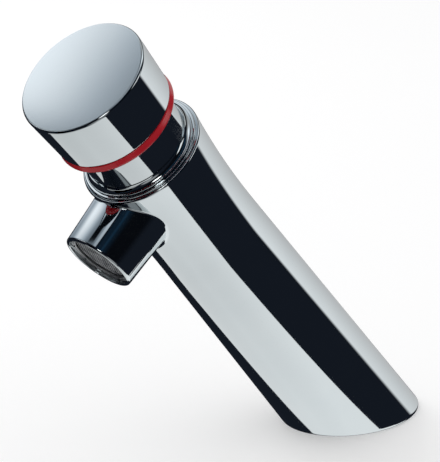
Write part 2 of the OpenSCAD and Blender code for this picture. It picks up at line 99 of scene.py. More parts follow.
def swing(start, end, share):
    """Directions part of the way round from one set of directions to another."""
    angle = np.arccos(np.clip(np.sum(start * end, axis=1, keepdims=True), -1, 1))
    return (np.sin((1 - share) * angle) * start + np.sin(share * angle) * end) / np.sin(angle)


# Rows of points run up the outside and down the inside, and a window in both walls is left for the spout.
ball_r = foot_r - foot_round * steep
ball_h = (foot_round - ball_r * out_y * lean_sin) / (lean_cos + slope * out_y * lean_sin)
ball = round_axis(ball_r + slope * ball_h, ball_h)
deck_way = np.tile([0, -lean_sin, -lean_cos], (columns, 1))
wall_way = round_axis(1 / steep, -slope / steep)
rows = [ball + foot_round * swing(deck_way, wall_way, k / foot_steps) for k in range(foot_steps + 1)]
foot_h = rows[-1][:, 2]
for share in (beside_foot, *np.linspace(0, 1, taper_steps + 1)[1:]):
    height = foot_h + (flare_lo - foot_h) * share
    rows.append(round_axis(foot_r + slope * height, height))
flare_row = len(rows) - 1
flare_h = (*np.linspace(flare_lo, body_len - beside_rim, flare_rows)[1:], body_len)
rows += [round_axis(barrel_r(h), h) for h in flare_h]
outer_window = (flare_row + flare_rows - window_rows, flare_row + flare_rows)
for a in np.radians(np.linspace(0, 90, rim_steps + 1)[1:]):
    rows.append(round_axis(rim_r - rim_round + rim_round * math.cos(a), body_len + rim_round * math.sin(a)))
for a in np.radians(np.linspace(-45, 90, bead_steps + 1)):
    rows.append(round_axis(bead_r - bead + bead * math.cos(a), top_h - bead + bead * math.sin(a)))
rows += [round_axis(thread_r, top_h), round_axis(thread_r, step_h), round_axis(bore_r, step_h)]
bore_row = len(rows)
bore_h = np.linspace(spout_h + bore_window_half, spout_h - bore_window_half, window_rows + 1)
rows += [round_axis(bore_r, h) for h in bore_h]
bore_window = (bore_row + window_rows, bore_row)
core_hi = foot_r + slope * bridge_lo - wall
core_h = (core_floor - (foot_r - wall) * out_y * lean_sin) / (lean_cos + slope * out_y * lean_sin)
rows += [round_axis(bore_r, bridge_hi), round_axis(port_r, bridge_hi), round_axis(port_r, bridge_lo)]
rows += [round_axis(core_hi, bridge_lo), round_axis(foot_r + slope * core_h - wall, core_h)]
tail_outline = [(port_r, core_floor), (port_r, filter_hi), (filter_r, filter_hi), (filter_r, filter_lo),
                (tail_r, filter_lo), (tail_r, 0), (groove_in, 0), (groove_in, groove_depth),
                (groove_out, groove_depth), (groove_out, 0)]
rows += [round_tail(radius, rise) for radius, rise in tail_outline]
points = np.concatenate(rows)


def window_edge(low, high):
    """Numbers of the points round a window in the rows, from its lower left corner."""
    step = 1 if high > low else -1
    edge = [(low, c) for c in range(-half_window, half_window)]
    edge += [(r, half_window) for r in range(low, high, step)]
    edge += [(high, c) for c in range(half_window, -half_window, -1)]
    edge += [(r, -half_window) for r in range(high, low, -step)]
    return np.array([r * columns + c % columns for r, c in edge])


def round_spout(radius, reach):
    """A ring of points round the axis of the spout."""
    ring = np.broadcast_arrays(radius * spoke_x, -np.asarray(reach), spout_h + radius * spoke_h)
    return np.stack(ring, axis=1)


def across_wall(start, end, share, radius):
    """A ring part of the way between two rings that lie on the same turned wall."""
    turn = [np.arctan2(ring[:, 1], ring[:, 0]) for ring in (start, end)]
    angle = turn[0] + (turn[1] - turn[0]) * share
    height = start[:, 2] + (end[:, 2] - start[:, 2]) * share
    around = radius(height)
    return np.stack([around * np.cos(angle), around * np.sin(angle), height], axis=1)


# Rings of points run from the outer window along the spout, over its lip and back to the window in the bore.
# The fillet is what a ball leaves that rolls between barrel and spout and is smaller towards the top.
outer_edge, bore_edge = window_edge(*outer_window), window_edge(*bore_window)
spoke = np.arctan2(points[outer_edge][:, 2] - spout_h, points[outer_edge][:, 0])
spoke_x, spoke_h = np.cos(spoke), np.sin(spoke)
draft = (spout_root_r - spout_mouth_r) / (spout_reach - lip_round)
draft_steep = math.hypot(1, draft)
fillet = root_fillet * (fillet_least + (1 - fillet_least) * np.sqrt((1 - spoke_h) / 2))
first_reach, settling_rounds = 0.02, 30
reach = np.full(len(spoke), first_reach)
for _ in range(settling_rounds):
    fillet_r = spout_root_r - draft * reach + fillet * draft_steep
    fillet_h = spout_h + fillet_r * spoke_h
    fillet_out = flare_mid_r - np.sqrt((flare_arc - fillet) ** 2 - (fillet_h - flare_mid_h) ** 2)
    reach = np.sqrt(fillet_out ** 2 - (fillet_r * spoke_x) ** 2)
roller = round_spout(fillet_r, reach)
to_spout = np.stack([-spoke_x, np.full(len(spoke), draft), -spoke_h], axis=1) / draft_steep
inward = (fillet_out - flare_mid_r) / (flare_arc - fillet)
to_barrel = np.stack([inward * roller[:, 0] / fillet_out, inward * roller[:, 1] / fillet_out,
                      (fillet_h - flare_mid_h) / (flare_arc - fillet)], axis=1)
crown = swell * np.maximum(spoke_h, 0) ** 2
outward = np.stack([spoke_x, 0 * spoke_x, spoke_h], axis=1)
fillet_rings = [roller + fillet[:, None] * swing(to_barrel, to_spout, share)
                + outward * crown[:, None] * share ** 2
                for share in np.arange(fillet_steps + 1) / fillet_steps]
rings = [across_wall(points[outer_edge], fillet_rings[0], k / lead_steps, barrel_r)
         for k in range(1, lead_steps)]
rings += fillet_rings
root_reach, lip_reach = -fillet_rings[-1][:, 1], spout_reach - lip_round
for share in (beside_lip, *np.linspace(0, 1, spout_steps + 1)[1:-1], 1 - beside_lip, 1):
    reach = root_reach + (lip_reach - root_reach) * share
    swelling = crown * np.exp((root_reach - reach) / swell_run)
    rings.append(round_spout(spout_root_r - draft * reach + swelling, reach))
for a in np.radians(np.linspace(0, 90, lip_steps + 1)[1:]):
    rings.append(round_spout(spout_mouth_r - lip_round + lip_round * math.cos(a),
                             lip_reach + lip_round * math.sin(a)))
for a in np.radians(np.linspace(90, 180, mouth_steps + 1)):
    rings.append(round_spout(socket_r + mouth_round + mouth_round * math.cos(a),
                             spout_reach - mouth_round + mouth_round * math.sin(a)))
socket_reach = np.linspace(spout_reach - mouth_round, socket_lo, socket_steps + 1)[1:]
rings += [round_spout(socket_r, t) for t in socket_reach]
rings += [round_spout(water_r, socket_lo)]
rings += [round_spout(water_r, np.sqrt(bore_r ** 2 - (water_r * spoke_x) ** 2))]
rings += [across_wall(rings[-1], points[bore_edge], k / bore_lead_steps, lambda h: np.full(len(h), bore_r))
          for k in range(1, bore_lead_steps)]

faces = []
for r in range(len(rows)):
    for c in range(columns):
        beside_spout = min(c, columns - 1 - c) < half_window
        in_window = outer_window[0] <= r < outer_window[1] or bore_window[1] <= r < bore_window[0]
        if beside_spout and in_window:
            continue
        after, beside = (r + 1) % len(rows) * columns, (c + 1) % columns
        faces.append((r * columns + c, r * columns + beside, after + beside, after + c))
ring_numbers = [outer_edge]
ring_numbers += [len(points) + k * len(spoke) + np.arange(len(spoke)) for k in range(len(rings))]
ring_numbers += [bore_edge]
for near, far in zip(ring_numbers, ring_numbers[1:]):
    faces += np.stack([near, np.roll(near, -1), np.roll(far, -1), far], axis=1).tolist()
bpy.ops.object.select_all(action="DESELECT")
casting_mesh = bpy.data.meshes.new("tap_body_casting")
casting_mesh.from_pydata(np.concatenate([points] + rings).tolist(), [], faces)
casting = bpy.data.objects.new("tap_body_casting", casting_mesh)
bpy.context.collection.objects.link(casting)
bpy.context.view_layer.objects.active = casting
casting.select_set(True)
on_axis = Matrix.Rotation(lean, 4, "X")
on_spout = on_axis @ Matrix.Translation((0, 0, spout_h)) @ Matrix.Rotation(math.radians(90), 4, "X")


def set_in(piece, place, crease=30):
    """Moves a finished mesh to its place in the tap and smooths its faces up to the crease angle."""
    piece.matrix_world = place
    bpy.ops.object.transform_apply(location=True, rotation=True, scale=True)
    bpy.ops.object.mode_set(mode="EDIT")
    bpy.ops.mesh.select_all(action="SELECT")
    bpy.ops.mesh.normals_make_consistent(inside=False)
    bpy.ops.object.mode_set(mode="OBJECT")
    bpy.ops.object.shade_smooth_by_angle(angle=math.radians(crease))


set_in(casting, on_axis)


class Wire:
    """A socket of a shader's nodes: sums on wires add Math nodes, and node() adds any other kind."""

    def __init__(self, tree, socket=None):
        self.tree, self.socket = tree, socket

    def node(self, kind, settings=None, sockets=None, out=0):
        """Adds a node, with its settings first and then the values or wires of its sockets."""
        made = self.tree.nodes.new(kind)
        for name, value in (settings or {}).items():
            setattr(made, name, value)
        for name, value in (sockets or {}).items():
            if isinstance(value, Wire):
                self.tree.links.new(value.socket, made.inputs[name])
            else:
                made.inputs[name].default_value = value
        return Wire(self.tree, made.outputs[out])

    def into(self, node, socket):
        self.tree.links.new(self.socket, node.inputs[socket])

    def reckon(self, operation, left, right):
        return self.node("ShaderNodeMath", {"operation": operation}, {0: left, 1: right})

    def __add__(self, other):
        return self.reckon("ADD", self, other)

    def __sub__(self, other):
        return self.reckon("SUBTRACT", self, other)

    def __mul__(self, other):
        return self.reckon("MULTIPLY", self, other)

    def __truediv__(self, other):
        return self.reckon("DIVIDE", self, other)

    def __rsub__(self, other):
        return self.reckon("SUBTRACT", other, self)

    def __rtruediv__(self, other):
        return self.reckon("DIVIDE", other, self)

    __radd__, __rmul__ = __add__, __mul__

    def lesser(self, other):
        return self.reckon("MINIMUM", self, other)

    def greater(self, other):
        return self.reckon("MAXIMUM", self, other)

    def step(self, low, high):
        """Goes softly from 0 to 1 as the value goes from low to high."""
        return self.node("ShaderNodeMapRange", {"interpolation_type": "SMOOTHSTEP"},
                         {"Value": self, "From Min": low, "From Max": high})

    def blend(self, none, full):
        """Mixes two colours by the value."""
        return self.node("ShaderNodeMix", {"data_type": "RGBA"}, {0: self, 6: none, 7: full}, out=2)

    def cloud(self, scale, detail=2.0):
        """Soft noise read at a place; the scale is in blobs to the metre."""
        return self.node("ShaderNodeTexNoise", None, {"Vector": self, "Scale": scale, "Detail": detail})

    def along(self, direction):
        """How far a place lies along a direction."""
        return self.node("ShaderNodeVectorMath", {"operation": "DOT_PRODUCT"}, {0: self, 1: direction},
                         out="Value")

    def bump(self, distance):
        """A relief of the given height in metres."""
        return self.node("ShaderNodeBump", None, {"Height": self, "Distance": distance, "Strength": 1.0})


def new_finish(name, metal=0.0):
    """A new finish: its shader, and the place on the piece that its pattern reads."""
    finish = bpy.data.materials.new(name)
    finish.use_nodes = True
    shader = finish.node_tree.nodes["Principled BSDF"]
    shader.inputs["Metallic"].default_value = metal
    return finish, shader, Wire(finish.node_tree).node("ShaderNodeTexCoord", out="Object")


def fit(piece, body, finish, slot, *nodes):
    """Gives a piece its finish, lets it ride on its body, and lets it stand for its CAD nodes."""
    piece.data.materials.clear()
    piece.data.materials.append(finish)
    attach(piece, body)
    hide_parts(*nodes)


# The plating is buffed nearly to a mirror, with the slow swell of the casting and a breath of haze.
chrome, shader, place = new_finish("polished chrome", metal=1.0)
haze = place.cloud(70.0, 3.0)
specks = place.cloud(900.0, 2.0)
haze.blend(chrome_shade, chrome_tint).into(shader, "Base Color")
(0.018 + 0.030 * haze + 0.012 * specks).into(shader, "Roughness")
place.cloud(45.0, 1.0).bump(0.000012).into(shader, "Normal")
fit(casting, "body", chrome, "chrome", "tap_body")

# Seals: rings, lips and washers of black rubber, moulded, under the foot, at the inlet, round the cartridge,
# on the piston and the valve, and in the spout. They are pressed into their grooves and seats, so only those
# under the foot show, from below.
rubber, shader, place = new_finish("moulded rubber")
bloom = place.cloud(160.0, 4.0)
bloom.blend((0.012, 0.012, 0.013, 1), (0.034, 0.033, 0.032, 1)).into(shader, "Base Color")
(0.52 + 0.22 * bloom).into(shader, "Roughness")
place.cloud(2600.0, 2.0).bump(0.00002).into(shader, "Normal")


def dress(finish, *nodes):
    """Gives CAD nodes whose shape is right their finish."""
    for node in nodes:
        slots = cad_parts[node].data.materials
        slots.clear()
        slots.append(finish)


dress(rubber, "base_gasket", "inlet_filter", "seat_washer", "cartridge_seal", "divider_seal", "gland_seal",
      "head_seal", "piston_cup", "valve_washer", "aerator_washer")

# Cartridge: turned brass barrel with its gland nut, screwed into the bore of the body from above.
# The disc of the valve is brass too. The tool leaves fine rings round the axis, from bright to dull.
axis_way = (0.0, -lean_sin, lean_cos)
brass, shader, place = new_finish("turned brass", metal=1.0)
tool_rings = place.node("ShaderNodeTexNoise", {"noise_dimensions": "1D"},
                        {"W": place.along(axis_way), "Scale": 2600.0, "Detail": 2.0})
tarnish = place.cloud(110.0, 4.0)
tarnish.blend((0.640, 0.430, 0.155, 1), (0.480, 0.300, 0.095, 1)).into(shader, "Base Color")
(0.16 + 0.16 * tool_rings + 0.14 * tarnish).into(shader, "Roughness")
tool_rings.bump(0.000012).into(shader, "Normal")
dress(brass, "cartridge_barrel", "gland_nut", "valve_disc")

# Guide ring, jets and timing piston: white acetal, moulded, clipped or pressed in place.
# The plastic is a little creamy, with faint flow marks and a matt skin.
white_plastic, shader, place = new_finish("white acetal")
flow = place.cloud(240.0, 3.0)
flow.blend((0.760, 0.745, 0.690, 1), (0.830, 0.820, 0.780, 1)).into(shader, "Base Color")
(0.36 + 0.16 * flow).into(shader, "Roughness")
place.cloud(1800.0, 2.0).bump(0.000012).into(shader, "Normal")
dress(white_plastic, "guide_ring", "timing_piston", "aerator_jets")

# Rod, nut, clip, washer, strainer, valve seat and valve screw: plain stainless steel, turned or stamped.
# The rod carries the piston and the valve, and is locked to the button by its nut.
steel, shader, place = new_finish("plain stainless steel", metal=1.0)
drawn = place.node("ShaderNodeTexNoise", {"noise_dimensions": "1D"},
                   {"W": place.along(axis_way), "Scale": 3800.0, "Detail": 2.0})
dull = place.cloud(180.0, 3.0)
dull.blend((0.560, 0.565, 0.570, 1), (0.460, 0.465, 0.475, 1)).into(shader, "Base Color")
(0.20 + 0.12 * drawn + 0.12 * dull).into(shader, "Roughness")
drawn.bump(0.000006).into(shader, "Normal")
dress(steel, "push_rod", "lock_nut", "stop_clip", "spring_washer", "valve_seat", "valve_screw",
      "inlet_strainer")

# Bleed jet: a small drilled jewel pressed into the piston, which sets the running time.
# It is ruby red, hard and glossy, a little cloudy inside.
jewel, shader, place = new_finish("ruby jet")
veil = place.cloud(1500.0, 2.0)
veil.blend((0.420, 0.008, 0.045, 1), (0.560, 0.016, 0.070, 1)).into(shader, "Base Color")
(0.08 + 0.10 * veil).into(shader, "Roughness")
dress(jewel, "bleed_jet")

# Neck sleeve: chromed brass, turned, screwed into the head of the body over the cartridge.
# The button slides on its outside, the spring stands in its pot, and a slide ring sits in its groove.
near_end = 0.00012


def turned(name, outline, place, steps=160):
    """A piece turned on the lathe: its outline is drawn point by point, closed, and spun round the axis.

    Points near both ends of each long straight keep a rounding from bending the light beside it."""
    stops = []
    for (r, h), (next_r, next_h) in zip(outline, outline[1:] + outline[:1]):
        run = math.hypot(next_r - r, next_h - h)
        shares = (0, near_end / run, 1 - near_end / run) if run > 5 * near_end else (0,)
        stops += [Vector((r + (next_r - r) * share, 0, h + (next_h - h) * share)) for share in shares]
    bpy.ops.object.select_all(action="DESELECT")
    bpy.ops.mesh.primitive_plane_add(size=0.001)
    piece = bpy.context.object
    piece.name = piece.data.name = name
    bpy.ops.object.mode_set(mode="EDIT")
    bpy.ops.mesh.merge(type="CENTER")
    bpy.ops.transform.translate(value=stops[0])
    for here, there in zip(stops, stops[1:] + stops[:1]):
        bpy.ops.mesh.extrude_vertices_move(TRANSFORM_OT_translate={"value": there - here})
    bpy.ops.mesh.select_all(action="SELECT")
    bpy.ops.mesh.remove_doubles(threshold=1e-6)
    bpy.ops.mesh.spin(steps=steps, angle=2 * math.pi, center=(0, 0, 0), axis=(0, 0, 1))
    bpy.ops.mesh.select_all(action="SELECT")
    bpy.ops.mesh.remove_doubles(threshold=1e-6)
    bpy.ops.object.mode_set(mode="OBJECT")
    set_in(piece, place)
    return piece


def arc(middle, radius, start, end, steps=6):
    """Points on an arc, from one angle to another."""
    angles = [math.radians(start + (end - start) * k / steps) for k in range(steps + 1)]
    return [(middle[0] + radius * math.cos(a), middle[1] + radius * math.sin(a)) for a in angles]


neck_r, neck_top, neck_edge = 0.0187, 0.1960, 0.0005
neck_wall_lo, neck_wall_hi, spring_pot_r, thread_in_r = 0.1740, 0.1780, 0.0145, 0.0152
slide_lo, slide_hi, slide_r, rod_hole_r = 0.1910, 0.1950, 0.0177, 0.00308
neck_lo, neck_thread_r = 0.1628, 0.01695
neck = turned("neck_sleeve_turned",
              [(thread_in_r, neck_lo), (neck_thread_r, neck_lo), (neck_thread_r, top_h), (neck_r, top_h),
               (neck_r, slide_lo), (slide_r, slide_lo), (slide_r, slide_hi), (neck_r, slide_hi)]
              + arc((neck_r - neck_edge, neck_top - neck_edge), neck_edge, 0, 90)
              + arc((spring_pot_r + neck_edge, neck_top - neck_edge), neck_edge, 90, 180)
              + [(spring_pot_r, neck_wall_hi), (rod_hole_r, neck_wall_hi), (rod_hole_r, neck_wall_lo),
                 (thread_in_r, neck_wall_lo)], on_axis)
fit(neck, "body", chrome, "chrome", "neck_sleeve")

# Collar ring: chromed brass trim between the neck and the body, turned and pressed on over the neck.
# A rounded edge stands clear of the body's bead, and a cove runs up from it into the neck.
collar_r, collar_hi, collar_in = 0.0206, 0.1713, 0.01875
cove_r, cove_gap, cove_start = 0.0022, 0.00025, 245
collar_edge, collar_edge_h, collar_foot = 0.00025, top_h + 0.00045, 0.0002
collar = turned("collar_ring_turned",
                [(collar_in, top_h), (collar_r - collar_foot, top_h), (collar_r, top_h + collar_foot)]
                + arc((collar_r - collar_edge, collar_edge_h), collar_edge, 0, 90)
                + arc((neck_r + cove_gap + cove_r, collar_hi), cove_r, cove_start, 180, 12)
                + [(collar_in, collar_hi)], on_axis)
fit(collar, "body", chrome, "chrome", "collar_ring")

# Return spring: drawn stainless wire, coiled cold, with a closed coil at each end.
# It stands in the pot of the neck, and is squeezed against the inside of the button.
wire_r, coil_r, coil_count, end_pitch = 0.0008, 0.0098, 8.5, 0.00205
spring_lo, spring_hi, washer_hi, cap_inside_h, press = 0.17985, 0.20435, 0.1790, 0.2052, 0.0090
bpy.ops.object.select_all(action="DESELECT")
wire_path = bpy.data.curves.new("return_spring_wire", "CURVE")
wire_path.dimensions = "3D"
wire_path.bevel_depth, wire_path.bevel_resolution, wire_path.use_fill_caps = wire_r, 3, True
wire_line = wire_path.splines.new("POLY")
wire_steps = 340
wire_line.points.add(wire_steps)
turns = np.linspace(0, coil_count, wire_steps + 1)
climb = np.interp(turns, [0, 1, coil_count - 1, coil_count],
                  [spring_lo, spring_lo + end_pitch, spring_hi - end_pitch, spring_hi])
for point, turn, height in zip(wire_line.points, turns, climb):
    angle = 2 * math.pi * turn
    point.co = (coil_r * math.cos(angle), coil_r * math.sin(angle), height, 1)
spring = bpy.data.objects.new("return_spring_coil", wire_path)
bpy.context.collection.objects.link(spring)
bpy.context.view_layer.objects.active = spring
spring.select_set(True)
bpy.ops.object.convert(target="MESH")
spring = bpy.context.object
set_in(spring, on_axis, 50)
spring_steel, shader, place = new_finish("drawn spring wire", metal=1.0)
scale = place.cloud(420.0, 3.0)
scale.blend((0.430, 0.435, 0.445, 1), (0.300, 0.300, 0.310, 1)).into(shader, "Base Color")
(0.24 + 0.18 * scale).into(shader, "Roughness")
place.cloud(2400.0, 2.0).bump(0.000008).into(shader, "Normal")
fit(spring, "body", spring_steel, "spring_steel", "return_spring")
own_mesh(spring)

# Button: chromed brass, turned, with a domed top that is blasted satin and a polished skirt over the neck.
# A boss under the top takes the rod, and a rabbet at the lower edge takes the colour ring.
skirt_r, skirt_in_r, skirt_lo, cap_lo, rabbet_r = 0.02195, 0.01925, 0.1876, 0.1846, 0.02055
brow_r, brow, brow_h, dome = 0.02305, 0.0009, 0.2080, 0.0013
boss_r, boss_lo, stud_r, stud_hi, inside_round = 0.0055, 0.1908, 0.00253, 0.2034, 0.0006
skirt_edge, satin_from, satin_full = 0.0002, brow_h - 0.00012, brow_h - 0.00004
top_r = brow_r - brow
dome_arc = (top_r ** 2 + dome ** 2) / (2 * dome)
dome_swing = math.degrees(math.asin(top_r / dome_arc))
button = turned("button_cap_turned",
                [(0, stud_hi), (stud_r, stud_hi), (stud_r, boss_lo), (boss_r, boss_lo),
                 (boss_r, cap_inside_h)]
                + arc((skirt_in_r - inside_round, cap_inside_h - inside_round), inside_round, 90, 0)
                + [(skirt_in_r, cap_lo), (rabbet_r, cap_lo), (rabbet_r, skirt_lo)]
                + arc((skirt_r - skirt_edge, skirt_lo + skirt_edge), skirt_edge, -90, 0, 3)
                + arc((top_r, brow_h - brow), brow, 0, 90 - dome_swing, 12)[:-1]
                + arc((0, brow_h + dome - dome_arc), dome_arc, 90 - dome_swing, 90, 16), on_axis)
satin_chrome, shader, place = new_finish("chrome with a satin top", metal=1.0)
haze = place.cloud(70.0, 3.0)
grit = place.cloud(5200.0, 2.0)
satin = place.along(axis_way).step(satin_from, satin_full)
haze.blend(chrome_shade, chrome_tint).into(shader, "Base Color")
polish = 0.018 + 0.030 * haze
(polish + satin * (0.20 + 0.05 * haze + 0.05 * grit - polish)).into(shader, "Roughness")
(grit * satin).bump(0.000004).into(shader, "Normal")
fit(button, "button", satin_chrome, "chrome", "button_cap")

# Colour ring: glossy red plastic, moulded, that says hot; it clips into the rabbet of the skirt.
# The moulded skin is smooth, with a faint ripple and a little depth in the colour.
ring_in, ring_lo, ring_low_r, ring_round = 0.0206, 0.1840, 0.0222, 0.0012
ring_top_r, ring_shoulder, ring_top_round = 0.02145, 0.1867, 0.0004
colour_ring = turned("colour_ring_moulded",
                     [(ring_in, ring_lo)]
                     + arc((ring_low_r - ring_round, ring_lo + ring_round), ring_round, -90, 0, 8)
                     + arc((ring_top_r, ring_shoulder), ring_top_round, 0, 90)
                     + [(ring_in, ring_shoulder + ring_top_round)], on_axis)
red_plastic, shader, place = new_finish("glossy red plastic")
depth = place.cloud(130.0, 3.0)
depth.blend((0.450, 0.010, 0.018, 1), (0.530, 0.015, 0.027, 1)).into(shader, "Base Color")
(0.16 + 0.08 * depth).into(shader, "Roughness")
place.cloud(600.0, 1.0).bump(0.000008).into(shader, "Normal")
fit(colour_ring, "button", red_plastic, "red_plastic", "colour_ring")

# Aerator shell: nickel-plated brass, turned, screwed up into the mouth of the spout with a key.
# The key fits the slots that are milled across its face; inside it carries the jets and the screen.
shell_r, shell_lo, shell_hi, shell_edge = 0.0116, 0.0275, 0.0372, 0.00015
jet_r, screen_r, screen_lo, jet_seat = 0.01035, 0.01085, 0.0356, 0.0287
jet_ledge, screen_gap, mouth_gap = 0.002, 0.00005, 0.0002
slot_wide, slot_deep, slot_count = 0.0012, 0.0006, 9
cutter_long, cutter_tall = 0.004, 0.002
shell_outline = [(jet_r - jet_ledge, shell_lo), (shell_r, shell_lo)]
shell_outline += arc((shell_r - shell_edge, shell_hi - shell_edge), shell_edge, 0, 90, 3)
shell_outline += arc((screen_r + mouth_gap, shell_hi - shell_edge), shell_edge, 90, 180, 3)
shell_outline += [(screen_r + screen_gap, screen_lo), (jet_r, screen_lo), (jet_r, jet_seat),
                  (jet_r - jet_ledge, jet_seat)]
shell = turned("aerator_shell_turned", shell_outline, on_spout)
bpy.ops.object.select_all(action="DESELECT")
bpy.ops.mesh.primitive_cube_add(
    size=1, location=(screen_r + cutter_long / 4, 0, shell_hi - slot_deep + cutter_tall / 2),
    scale=(cutter_long, slot_wide, cutter_tall))
slot_cutter = bpy.context.object
bpy.ops.object.transform_apply(location=True, rotation=True, scale=True)
bpy.ops.object.mode_set(mode="EDIT")
bpy.ops.mesh.select_all(action="SELECT")
bpy.ops.mesh.spin(steps=slot_count - 1, dupli=True, angle=2 * math.pi * (1 - 1 / slot_count),
                  center=(0, 0, 0), axis=(0, 0, 1))
bpy.ops.object.mode_set(mode="OBJECT")
set_in(slot_cutter, on_spout)
bpy.ops.object.select_all(action="DESELECT")
bpy.context.view_layer.objects.active = shell
shell.select_set(True)
milled = shell.modifiers.new("key slots", "BOOLEAN")
milled.operation, milled.solver, milled.object = "DIFFERENCE", "EXACT", slot_cutter
bpy.ops.object.modifier_apply(modifier=milled.name)
bpy.data.objects.remove(slot_cutter)
bpy.ops.object.shade_smooth_by_angle(angle=math.radians(30))
nickel, shader, place = new_finish("dull nickel", metal=1.0)
stain = place.cloud(500.0, 3.0)
stain.blend((0.520, 0.530, 0.540, 1), (0.360, 0.368, 0.380, 1)).into(shader, "Base Color")
(0.26 + 0.20 * stain).into(shader, "Roughness")
fit(shell, "body", nickel, "chrome", "aerator_shell")

# Outlet screen: woven stainless wire, cut round and held under its snap ring, just inside the mouth.
# Each wire passes over one and under the next, and water has left them dull in places.
weave_pitch, weave_r, weave_h, weave_gap = 0.00046, 0.00010, 0.0359, 0.00002
weave = bpy.data.curves.new("aerator_screen_weave", "CURVE")
weave.dimensions = "3D"
weave.bevel_depth, weave.bevel_resolution = weave_r, 0
wire_count = int(screen_r / weave_pitch)
for turned_over in (False, True):
    for i in range(-wire_count, wire_count + 1):
        aside = i * weave_pitch
        span = math.sqrt(max((screen_r - weave_gap) ** 2 - aside ** 2, 0))
        stops = int(span / weave_pitch)
        line = weave.splines.new("POLY")
        line.points.add(2 * stops)
        for k in range(2 * stops + 1):
            ahead = (k - stops) * weave_pitch
            rise = weave_r * math.cos(math.pi * (ahead / weave_pitch + i)) * (1 if turned_over else -1)
            x, y = (ahead, aside) if turned_over else (aside, ahead)
            line.points[k].co = (x, y, weave_h + rise, 1)
bpy.ops.object.select_all(action="DESELECT")
screen = bpy.data.objects.new("aerator_screen_weave", weave)
bpy.context.collection.objects.link(screen)
bpy.context.view_layer.objects.active = screen
screen.select_set(True)
bpy.ops.object.convert(target="MESH")
screen = bpy.context.object
set_in(screen, on_spout, 60)
screen_wire, shader, place = new_finish("grey screen wire", metal=1.0)
dull = place.cloud(350.0, 2.0)
dull.step(0.35, 0.65).blend((0.480, 0.490, 0.505, 1), (0.260, 0.268, 0.280, 1)).into(shader, "Base Color")
(0.42 + 0.18 * dull).into(shader, "Roughness")
fit(screen, "body", screen_wire, "screen", "aerator_screen")

# Snap ring: round-edged steel ring, nickel-plated, that springs into the shell and keeps the screen in.
# It is seen as the thin bright edge round the mesh.
clip_in, clip_lo, clip_hi, clip_edge = 0.01015, 0.0362, 0.0370, 0.0002
edge_out, edge_in = screen_r - clip_edge, clip_in + clip_edge
edge_lo, edge_hi = clip_lo + clip_edge, clip_hi - clip_edge
clip_outline = []
for corner, start in (((edge_out, edge_lo), -90), ((edge_out, edge_hi), 0),
                      ((edge_in, edge_hi), 90), ((edge_in, edge_lo), 180)):
    clip_outline += arc(corner, clip_edge, start, start + 90, 4)
clip = turned("aerator_clip_formed", clip_outline, on_spout, 120)
fit(clip, "body", nickel, "steel", "aerator_clip")

# Floor: a wide sheet of pale paper, laid flat under the tap, which keeps a soft shadow.
# To the camera it is nearly white, it throws little light up, and the chrome looks through it to the cards.
floor_r, floor_lift, floor_throw = 4.0, 0.28, 0.42
bpy.ops.object.select_all(action="DESELECT")
bpy.ops.mesh.primitive_circle_add(vertices=96, radius=floor_r, fill_type="NGON")
floor = bpy.context.object
floor.name = "floor"


def studio_paint(name):
    """A new paint for the studio: its wires, and the output that its shader goes into."""
    paint = bpy.data.materials.new(name)
    paint.use_nodes = True
    paint.node_tree.nodes.remove(paint.node_tree.nodes["Principled BSDF"])
    return paint, Wire(paint.node_tree), paint.node_tree.nodes["Material Output"]


def rays(wire, *kinds):
    """For each kind of ray, a wire that is 1 for that kind."""
    return [wire.node("ShaderNodeLightPath", out=f"Is {kind} Ray") for kind in kinds]


floor_paint, sheet, surface = studio_paint("pale floor")
seen, mirrored, thrown = rays(sheet, "Camera", "Glossy", "Diffuse")
grain = sheet.node("ShaderNodeTexCoord", out="Object").cloud(9.0, 3.0)
pale = grain.blend((0.755, 0.755, 0.760, 1), (0.765, 0.765, 0.765, 1))
dim = thrown.blend(pale, (floor_throw, floor_throw, floor_throw, 1))
matt = sheet.node("ShaderNodeBsdfDiffuse", None, {"Color": dim})
lift = sheet.node("ShaderNodeEmission", None, {"Strength": seen * floor_lift})
paper = sheet.node("ShaderNodeAddShader", None, {0: matt, 1: lift})
clear = sheet.node("ShaderNodeBsdfTransparent")
sheet.node("ShaderNodeMixShader", None, {0: mirrored, 1: paper, 2: clear}).into(surface, "Surface")
floor.data.materials.append(floor_paint)

# Cards: two sheets of white paper below and to the right of the tap, and a black one far behind it.
# Only the chrome mirrors them. The white ones make its broad pale bands and fade towards their ends.
# The black one keeps the right side of the neck dark.
card_glow, card_drop, black_card_y = 1.07, -0.266, 0.87
fade_left, fade_right, fade_front = 0.55, -0.25, 1.5
white_card, sheet, surface = studio_paint("white card")
spot = sheet.node("ShaderNodeTexCoord", out="Object")
across, deep = spot.along((1, 0, 0)), spot.along((0, 1, 0))
fading = (fade_left * across).lesser(fade_right * across) + (fade_front * deep).lesser(0.0)
sheet.node("ShaderNodeEmission", None, {"Strength": card_glow + fading}).into(surface, "Surface")
black_card, sheet, surface = studio_paint("black card")
sheet.node("ShaderNodeEmission", None, {"Color": (0.010, 0.013, 0.020, 1)}).into(surface, "Surface")


def only_mirrored(thing):
    """Hides a thing of the studio from the camera, diffuse light, shadows and transmission, so that only the
    chrome sees it.
    """
    thing.visible_camera = thing.visible_diffuse = False
    thing.visible_shadow = thing.visible_transmission = False


def card(name, paint, corners):
    """A flat card with the given corners."""
    bpy.ops.object.select_all(action="DESELECT")
    bpy.ops.mesh.primitive_circle_add(vertices=len(corners), fill_type="NGON")
    flat = bpy.context.object
    flat.name = name
    for vertex, corner in zip(flat.data.vertices, corners):
        vertex.co = corner
    flat.data.materials.append(paint)
    only_mirrored(flat)


